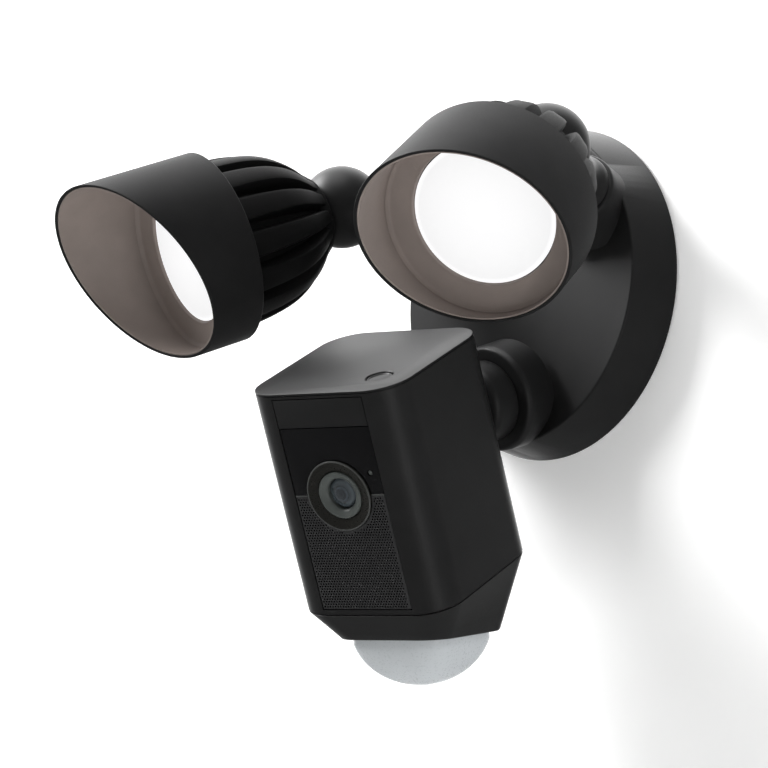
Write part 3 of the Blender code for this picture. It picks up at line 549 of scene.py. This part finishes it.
def make_head(side):
    place, body, front = HEAD[side], side + "_head", SINK_FRONT
    core = turned(soften([
        (0.0, front), (SINK_RIM_R, front, 0.4 * MM), (SINK_RIM_R, front - 4.2 * MM, 0.4 * MM),
        (28.4 * MM, front - 5 * MM, 1.5 * MM), (28.0 * MM, 50 * MM, 8 * MM), (24.8 * MM, 36 * MM, 8 * MM),
        (19.6 * MM, 24.5 * MM, 5 * MM), (14.6 * MM, 17.6 * MM, 1.5 * MM), (15.6 * MM, 16.4 * MM, 0.4 * MM),
        (15.6 * MM, 12.2 * MM, 0.8 * MM), (13.6 * MM, 11.4 * MM, 0.3 * MM), (0.0, 11.4 * MM)],
        MM, 5), FINE)
    cup = whole_ball(KNUCKLE_CUP_R, 40)
    pocket = rod(BOARD_POCKET_R, front + 5 * MM, front - 4.5 * MM)
    bore = rod(WIRE_R, front, 5 * MM, BORE_STEPS)
    mesh = shaped(core, place, [("UNION", fin_mesh(FIN_COUNT), place), ("DIFFERENCE", cup, place),
                                ("DIFFERENCE", pocket, place), ("DIFFERENCE", bore, place)])
    show(side + "_heat_sink_skin", mesh, place, "heat_sink", body, [side + "_heat_sink"], sharp=28)

    lip, wall, skin_wall = HOOD_START + HOOD_MEAN, HOOD_WALL, 1.2 * MM
    r0, r1 = HOOD_R_REAR, HOOD_R_LIP
    round_edge = 0.35 * MM
    profile = [(r0 - wall, HOOD_START), (r0 - round_edge, HOOD_START), (r0, HOOD_START + round_edge),
               (r1, lip - round_edge), (r1 - 0.3 * round_edge, lip - 0.3 * round_edge),
               (r1 - round_edge, lip), (r1 - skin_wall + 0.2 * MM, lip), (r1 - skin_wall, lip - 0.2 * MM),
               (r1 - skin_wall, lip - 1.0 * MM), (r1 - wall + 0.6 * MM, front + 1.0 * MM),
               (r0 - wall, front)]
    hood = turned(profile, HOOD_STEPS, True, HOOD_SLOPE, (3, 4, 5, 6, 7, 8))
    show(side + "_hood_skin", hood, place, "hood", body, [side + "_hood"], 40)
    lining = turned([
        (r1 - skin_wall - 0.05 * MM, lip - 0.5 * MM), (r1 - wall, lip - 0.55 * MM),
        (r0 - wall, LENS_FRONT + 1.6 * MM), (r0 - wall + 0.4 * MM, LENS_FRONT + 1.6 * MM)],
        HOOD_STEPS, True, HOOD_SLOPE, (0, 1))
    show(side + "_hood_lining", lining, place, "hood_lining", body, (), 50)

    low, flat = front + GAP, LENS_FRONT
    bezel = turned(soften([
        (35.7 * MM, flat + 3.2 * MM, 0.0), (35.7 * MM, low, 0.3 * MM), (26.6 * MM, low, 0.3 * MM),
        (26.6 * MM, flat + 0.1 * MM, 0.5 * MM), (28.0 * MM, flat + 0.2 * MM, 1.0 * MM),
        (34.9 * MM, flat + 1.6 * MM, 2.2 * MM)], 0.3 * MM, 6, True), FINE, True)
    show(side + "_bezel_skin", bezel, place, "hood_lining", body, [side + "_bezel"], sharp=60)
    lens = turned(crown(LENS_R - 0.5 * MM, flat - 0.9 * MM, 0.8 * MM, 12) + soften([
        (LENS_R - 0.5 * MM, flat - 0.9 * MM), (LENS_R, flat - 1.1 * MM, 0.3 * MM),
        (LENS_R, flat - 2.0 * MM, 0.1 * MM), (0.0, flat - 2.0 * MM)], 0.2 * MM, 3), FINE)
    show(side + "_lens_skin", lens, place, "diffuser", body, [side + "_lens"])


# --- camera ----------------------------------------------------------------------------------------
def make_camera_arm():
    root, neck = -CAMERA_BOSS_ROOT, CAMERA_NECK_R
    profile = soften([
        (0.0, BALL_REACH - 2 * MM), (neck, BALL_REACH - 8.0 * MM, 0.0),
        (neck + 0.4 * MM, 18.0 * MM, 3 * MM), (neck + 1.8 * MM, 14.2 * MM, 2 * MM),
        (12.2 * MM, 12.8 * MM, 2 * MM), (14.4 * MM, 11.6 * MM, 1 * MM),
        (SEAT_R, 9.8 * MM, 1.5 * MM), (SEAT_R, GAP, 0.5 * MM), (SHANK_R, GAP, 0.0),
        (SHANK_R, root - SHANK_TAIL, 0.6 * MM), (0.0, root - SHANK_TAIL)], MM, 5)
    at_ball = SEAT @ Matrix.Translation((0, 0, BALL_REACH))
    bore = rod(WIRE_R, BALL_REACH, root - BORE_TAIL, BORE_STEPS)
    mesh = shaped(turned(profile, SEAT_STEPS), SEAT, [
        ("DIFFERENCE", whole_ball(BALL_SEAT_R), at_ball), ("DIFFERENCE", bore, SEAT)])
    show("camera_arm_skin", mesh, SEAT, "shell", "camera_arm", ["camera_arm"])
    through = rod(WIRE_R, 13 * MM, -13 * MM, BORE_STEPS)
    mesh = shaped(whole_ball(BALL_R), BACK, [("DIFFERENCE", through, BACK)])
    show("camera_ball_skin", mesh, BACK, "steel", "camera_ball", ["camera_ball"])


def make_camera_shell():
    top, wall = BODY_TOP, BODY_WALL
    groove = [(0.0, top - 1.15 * MM), (0.35 * MM, top - 1.1 * MM), (0.35 * MM, top - 0.8 * MM),
              (0.0, top - 0.72 * MM)]
    rim = [(0.0, top - 0.4 * MM), (0.12 * MM, top - 0.12 * MM), (0.4 * MM, top)]
    rings = [body_ring(wall, top - wall), body_ring(wall, BODY_BOTTOM), body_ring(0.25 * MM, BODY_BOTTOM),
             body_ring(0.0, BODY_BOTTOM + 0.25 * MM)]
    rings += [body_ring(inset, z) for inset, z in groove + rim]
    opening = slab(-PANEL_HALF - GAP, PANEL_HALF + GAP, -5 * MM, wall + 1 * MM,
                   PANEL_LOW - GAP, PANEL_TOP + GAP)
    ball_hole = rod(SOCKET_R + GAP, 10 * MM, -10 * MM)
    hole_r = BUTTON_R + 0.35 * MM
    button_hole = turned([(0.0, 2 * MM), (hole_r + 2.25 * MM, 2 * MM), (hole_r, -0.25 * MM),
                          (hole_r, -6 * MM), (0.0, -6 * MM)], SMALL)
    mesh = shaped(skin(rings), BODY, [("DIFFERENCE", opening, BODY), ("DIFFERENCE", ball_hole, BACK),
                                      ("DIFFERENCE", button_hole, BUTTON)])
    show("camera_shell_skin", mesh, BODY, "shell", "camera", ["camera_shell"], sharp=30)

    seat = whole_ball(BALL_SEAT_R)
    bore = rod(WIRE_R, 0.0, -30 * MM, BORE_STEPS)
    socket = turned(soften([(0.0, SOCKET_LIP), (SOCKET_R, SOCKET_LIP, 0.8 * MM), (SOCKET_R, -15.5 * MM),
                            (0.0, -15.5 * MM)], 0.4 * MM), SMALL)
    mesh = shaped(socket, BACK, [("DIFFERENCE", seat, BACK), ("DIFFERENCE", bore, BACK)])
    show("ball_socket_skin", mesh, BACK, "inner_plastic", "camera", ["ball_socket"])

    r = BUTTON_R
    button = turned(crown(r - 0.9 * MM, -0.75 * MM, -0.35 * MM, 6) + soften([
        (r - 0.9 * MM, -0.75 * MM), (r - 0.5 * MM, -0.3 * MM, 0.3 * MM), (r, -0.6 * MM, 0.3 * MM),
        (r, -3.4 * MM, 0.0), (r + 1.5 * MM, -3.4 * MM, 0.2 * MM), (r + 1.5 * MM, -4.4 * MM, 0.2 * MM),
        (0.0, -4.4 * MM)], 0.2 * MM), SMALL)
    show("reset_button_skin", button, BUTTON, "shell", "reset_button", ["reset_button"])


def perforations(clear):
    """Round holes in a close hexagonal pattern, kept off the lens and the plate's edges."""
    pitch, hole, margin, sides = 1.15 * MM, 0.40 * MM, 0.95 * MM, 8
    drop = pitch * 0.866                                 # between rows, for a hexagonal pattern
    rows = int((WINDOW_LOW - PANEL_LOW - 2 * margin) / drop)
    shape = bmesh.new()
    for row in range(rows + 1):
        z = PANEL_LOW + margin + row * drop
        shift = (row % 2) * pitch / 2
        count = int((2 * (PANEL_HALF - margin) - shift) / pitch)
        for column in range(count + 1):
            x = -PANEL_HALF + margin + shift + column * pitch
            if x * x + z * z < (clear + margin) ** 2:
                continue
            turns = [2 * pi * k / sides for k in range(sides)]
            ends = [[shape.verts.new((x + hole * cos(a), y, z + hole * sin(a))) for a in turns]
                    for y in (-1.0 * MM, 3.0 * MM)]
            for k in range(sides):
                j = (k + 1) % sides
                shape.faces.new((ends[0][k], ends[0][j], ends[1][j], ends[1][k]))
            shape.faces.new(ends[0][::-1])
            shape.faces.new(ends[1])
    bmesh.ops.recalc_face_normals(shape, faces=shape.faces)
    mesh = bpy.data.meshes.new("perforations")
    shape.to_mesh(mesh)
    shape.free()
    return mesh


def make_camera_front():
    thick, clear, half = PANEL_THICK, LENS_DISC_R + GAP, PANEL_HALF
    show("upper_panel_skin", slab(-half, half, 0.0, thick, WINDOW_TOP + GAP, PANEL_TOP, 0.25 * MM),
         BODY, "shell", "camera", ["upper_panel"])
    hole = rod(clear, 5 * MM, -5 * MM, FINE)
    sensor_at = LENS @ Matrix.Translation((SENSOR_X, SENSOR_Z, 0.0))
    pane = slab(-half, half, 0.25 * MM, thick, WINDOW_LOW + GAP / 2, WINDOW_TOP, 0.18 * MM)
    window = shaped(pane, BODY, [
        ("DIFFERENCE", hole.copy(), LENS),
        ("DIFFERENCE", rod(1.1 * MM, 5 * MM, -5 * MM, SENSOR_STEPS), sensor_at)])
    show("camera_window_skin", window, BODY, "gloss", "camera", ["camera_window"])
    sensor = turned(crown(0.9 * MM, -0.7 * MM, 0.3 * MM, 5) + [
        (0.9 * MM, -0.7 * MM), (0.9 * MM, -1.6 * MM), (0.0, -1.6 * MM)], SENSOR_STEPS)
    show("light_sensor_skin", sensor, sensor_at, "lens_barrel", "camera", ["light_sensor"])
    grille = shaped(slab(-half, half, 0.2 * MM, thick, PANEL_LOW, WINDOW_LOW - GAP / 2, 0.2 * MM), BODY, [
        ("DIFFERENCE", hole, LENS), ("DIFFERENCE", perforations(clear), BODY)])
    show("speaker_grille_skin", grille, BODY, "speaker_mesh", "camera", ["speaker_grille"])

    disc, barrel, glass = LENS_DISC_R, BARREL_R, GLASS_R
    surround = turned(soften([
        (disc, 0.3 * MM, 0.25 * MM), (disc, -2.2 * MM, 0.0), (barrel + GAP, -2.2 * MM, 0.0),
        (barrel + GAP, -0.5 * MM, 0.2 * MM), (disc - 0.9 * MM, 0.5 * MM, 0.3 * MM),
        (disc - 0.5 * MM, 0.7 * MM, 0.15 * MM)], 0.2 * MM, 4, True), FINE, True)
    show("lens_surround_skin", surround, LENS, "lens_disc", "camera", ["lens_surround"])
    ring = turned(soften([
        (disc + 0.05 * MM, 0.1 * MM), (disc + 0.05 * MM, 0.62 * MM), (disc - 0.3 * MM, 0.78 * MM),
        (disc - 0.55 * MM, 0.62 * MM), (disc - 0.55 * MM, 0.1 * MM)], 0.1 * MM, 3, True), FINE, True)
    # the lens surround's raised rim is coloured pale grey as a painted highlight
    show("lens_surround_rim", ring, LENS, "painted_edge_highlight", "camera", ())
    # pale strips laid in the seam between the window and the grille: a painted highlight line
    for side in (-1.0, 1.0):
        ends = sorted((side * (clear + 0.4 * MM), side * (half - 0.1 * MM)))
        strip = slab(ends[0], ends[1], 0.02 * MM, 1.0 * MM, -0.3 * MM, 0.3 * MM, 0.1 * MM)
        name = "seam_highlight_left" if side > 0 else "seam_highlight_right"
        show(name, strip, BODY, "painted_edge_highlight", "camera", ())
    tube = turned(soften([
        (barrel, -0.2 * MM, 0.2 * MM), (barrel, -16.0 * MM, 0.0), (glass - 1.2 * MM, -16.0 * MM, 0.0),
        (glass - 1.2 * MM, -5.2 * MM, 0.0), (glass + GAP, -5.2 * MM, 0.0),
        (glass + GAP, -1.7 * MM, 0.2 * MM), (glass + 0.9 * MM, -1.0 * MM, 0.3 * MM),
        (barrel - 0.6 * MM, 0.1 * MM, 0.3 * MM)], 0.2 * MM, 4, True), FINE, True)
    show("lens_barrel_skin", tube, LENS, "lens_barrel", "camera", ["lens_barrel"])
    cap_r = 9.0 * MM
    cap = [(r, -0.9 * MM - (cap_r - (cap_r ** 2 - r ** 2) ** 0.5)) for r in
           [glass * k / 14 for k in range(15)]]
    eye = turned(cap + [(glass, -4.9 * MM), (0.0, -4.9 * MM)], SMALL)
    show("lens_glass_skin", eye, LENS, "lens_glass", "camera", ["lens_glass"])


def skirt_ring(inset, share, lift):
    """Outline of the skirt at a share of the way down, lifted off its tilted underside."""
    down = Matrix.Translation(SKIRT_PLANE) @ Matrix.Rotation(-SKIRT_TILT, 4, "X")
    shrink = (SKIRT_HALF - inset) / (BODY_HALF - inset)
    middle = Vector((0.0, BODY_DEEP / 2, 0.0))
    ring = []
    for upper in body_ring(inset, BODY_BOTTOM - GAP):
        flat = (upper - middle) * shrink
        lower = down @ Vector((flat.x, flat.y, lift))
        ring.append(upper.lerp(lower, share))
    return ring


def squared_off(mesh):
    """Pushes a turned mesh out at its four corners, so that it is a rounded square from below."""
    for vertex in mesh.vertices:
        reach = Vector(vertex.co[:2])
        if reach.length > TINY:
            x, y = abs(reach.normalized().x), abs(reach.normalized().y)
            stretch = (x ** DOME_POWER + y ** DOME_POWER) ** (-1.0 / DOME_POWER)
            vertex.co.x *= stretch
            vertex.co.y *= stretch
    return mesh


def make_skirt():
    wall = SKIRT_WALL
    rings = [skirt_ring(wall, 1.0, wall), skirt_ring(wall, 0.0, wall), skirt_ring(0.25 * MM, 0.0, 0.0)]
    rings += [skirt_ring(0.0, share, 0.0) for share in (0.012, 0.25, 0.5, 0.75, 0.97)]
    rings += [skirt_ring(0.15 * MM, 0.99, 0.0), skirt_ring(0.5 * MM, 1.0, 0.0)]
    flange = DOME_R + FLANGE_LAP
    hole = squared_off(turned([
        (0.0, 14 * MM), (flange + GAP, 14 * MM), (flange + GAP, FLANGE_SEAT),
        (DOME_R + GAP, FLANGE_SEAT), (DOME_R + GAP, -2.7 * MM), (0.0, -2.7 * MM)], FINE))
    mesh = shaped(skin(rings), BODY, [("DIFFERENCE", hole, SKIRT)])
    show("skirt_skin", mesh, BODY, "shell", "camera", ["skirt"], sharp=30)

    cap_r = (DOME_R ** 2 + DOME_HEIGHT ** 2) / (2 * DOME_HEIGHT)
    centre, wall = cap_r - DOME_HEIGHT, DOME_WALL

    def cap(radius, edge):
        """Points on the dome's cap from its edge to the pole."""
        end, rows = atan2(edge, centre), 20
        angles = [end * (1 - k / rows) for k in range(rows)]
        line = [(radius * sin(a), centre - DOME_DROP - radius * cos(a)) for a in angles]
        return line + [(0.0, centre - DOME_DROP - radius)]

    outside, inside = cap(cap_r, DOME_R), cap(cap_r - wall, DOME_R - wall)[::-1]
    rim = [(DOME_R - wall, FLANGE_HIGH), (flange, FLANGE_HIGH), (flange, FLANGE_LOW),
           (DOME_R, FLANGE_LOW)]
    show("motion_dome_skin", squared_off(turned(inside + rim + outside, FINE)), SKIRT, "dome", "camera",
         ["motion_dome"])


def finish_inner_parts():
    """Gives every CAD node that still shows the procedural material of its own slot."""
    slots = {row["node"]: row["material_slot"] for row in frame["record"]["subparts"]}
    for name, node in frame["nodes"].items():
        if not node.hide_render:
            node.data.materials.clear()
            node.data.materials.append(FINISH[slots[name]])


# --- studio ----------------------------------------------------------------------------------------
def staged_plane(name, size, place, material):
    shape = bmesh.new()
    bmesh.ops.create_grid(shape, x_segments=1, y_segments=1, size=size / 2)
    mesh = bpy.data.meshes.new(name)
    shape.to_mesh(mesh)
    shape.free()
    mesh.materials.append(material)
    made = bpy.data.objects.new(name, mesh)
    made.matrix_world = place
    bpy.context.scene.collection.objects.link(made)
    made.visible_glossy = False


def make_studio():
    """A white wall that is clear from behind, and a pale floor well below. Gloss shows neither."""
    wall = Nodes("studio_wall")
    wall.set(Base_Color=(0.9, 0.9, 0.9, 1.0), Roughness=0.9)
    wall.set(Emission_Color=(1.0, 1.0, 1.0, 1.0), Emission_Strength=0.22)
    seen_from = wall.add("ShaderNodeNewGeometry").outputs["Backfacing"]
    clear = wall.add("ShaderNodeBsdfTransparent")
    mix = wall.add("ShaderNodeMixShader")
    output = wall.tree.nodes["Material Output"]
    wall.link(seen_from, mix.inputs["Fac"])
    wall.link(wall.shader.outputs["BSDF"], mix.inputs[1])
    wall.link(clear.outputs["BSDF"], mix.inputs[2])
    wall.link(mix.outputs["Shader"], output.inputs["Surface"])
    behind = facing(Vector((0.0, 0.0005, 0.0)), Vector((0, -1, 0)))
    staged_plane("studio_wall", 6.0, behind, wall.material)
    floor = Nodes("studio_floor")
    floor.set(Base_Color=(0.82, 0.82, 0.81, 1.0), Roughness=0.8)
    staged_plane("studio_floor", 12.0, Matrix.Translation((0.0, 0.0, -2.4)), floor.material)


def soft_light(name, at, target, size, power, shape="SQUARE", size_y=None):
    light = bpy.data.lights.new(name, "AREA")
    light.shape, light.size, light.energy = shape, size, power
    if size_y is not None:
        light.size_y = size_y
    made = bpy.data.objects.new(name, light)
    away = (Vector(at) - Vector(target)).normalized()
    made.matrix_world = facing(Vector(at), away)
    bpy.context.scene.collection.objects.link(made)


def make_world():
    """Dim all round with one broad pale patch up and to the left, and plain where seen directly."""
    world = bpy.data.worlds.new("studio")
    world.use_nodes = True
    nodes, links = world.node_tree.nodes, world.node_tree.links
    background = nodes["Background"]
    toward = nodes.new("ShaderNodeVectorMath")
    toward.operation = "DOT_PRODUCT"
    toward.inputs[1].default_value = Vector((-0.63, 0.40, 0.665)).normalized()
    links.new(nodes.new("ShaderNodeTexCoord").outputs["Generated"], toward.inputs[0])
    level = nodes.new("ShaderNodeMapRange")
    level.interpolation_type = "SMOOTHSTEP"
    for name, value in (("From Min", 0.45), ("From Max", 0.95), ("To Min", 0.25), ("To Max", 3.4)):
        level.inputs[name].default_value = value
    links.new(toward.outputs["Value"], level.inputs["Value"])
    plain = nodes.new("ShaderNodeBackground")
    plain.inputs["Color"].default_value = (0.9, 0.9, 0.9, 1.0)
    links.new(level.outputs["Result"], background.inputs["Strength"])
    background.inputs["Color"].default_value = (1.0, 1.0, 1.0, 1.0)
    seen = nodes.new("ShaderNodeMixShader")
    links.new(nodes.new("ShaderNodeLightPath").outputs["Is Camera Ray"], seen.inputs["Fac"])
    links.new(background.outputs["Background"], seen.inputs[1])
    links.new(plain.outputs["Background"], seen.inputs[2])
    links.new(seen.outputs["Shader"], nodes["World Output"].inputs["Surface"])
    world.cycles.sampling_method = "NONE"
    return world


def make_lights():
    soft_light("key_softbox", (-1.5, -1.6, 1.7), (0.0, 0.0, 0.0), 1.1, 88.0)
    soft_light("top_softbox", (0.2, -0.7, 1.8), (0.0, -0.1, 0.0), 1.2, 16.0)
    soft_light("corner_strip", (1.45, -0.38, -0.85), (0.0, -0.1, -0.08), 0.16, 4.5, "RECTANGLE", 1.2)
    soft_light("wall_wash", (-0.62, -0.42, 0.75), (-0.3, 0.0, 0.22), 0.4, 9.0)
    bpy.context.scene.world = make_world()
    bpy.context.scene.view_settings.view_transform = "Standard"


def make_camera():
    azimuth, elevation, distance = radians(48.46), radians(-11.89), 1.3208
    aim = Vector((-0.0499, -0.0456, -0.0339))
    back = Vector((sin(azimuth) * cos(elevation), -cos(azimuth) * cos(elevation), sin(elevation)))
    lens = bpy.data.cameras.new("camera")
    lens.lens, lens.sensor_width = 159.12, 36.0
    made = bpy.data.objects.new("view", lens)
    made.matrix_world = facing(aim + back * distance, back)
    bpy.context.scene.collection.objects.link(made)
    bpy.context.scene.camera = made


make_camera()
make_studio()
make_lights()
make_base()
for lamp_side in ("left", "right"):
    make_arm(lamp_side)
    make_head(lamp_side)
make_camera_arm()
make_camera_shell()
make_camera_front()
make_skirt()
finish_inner_parts()
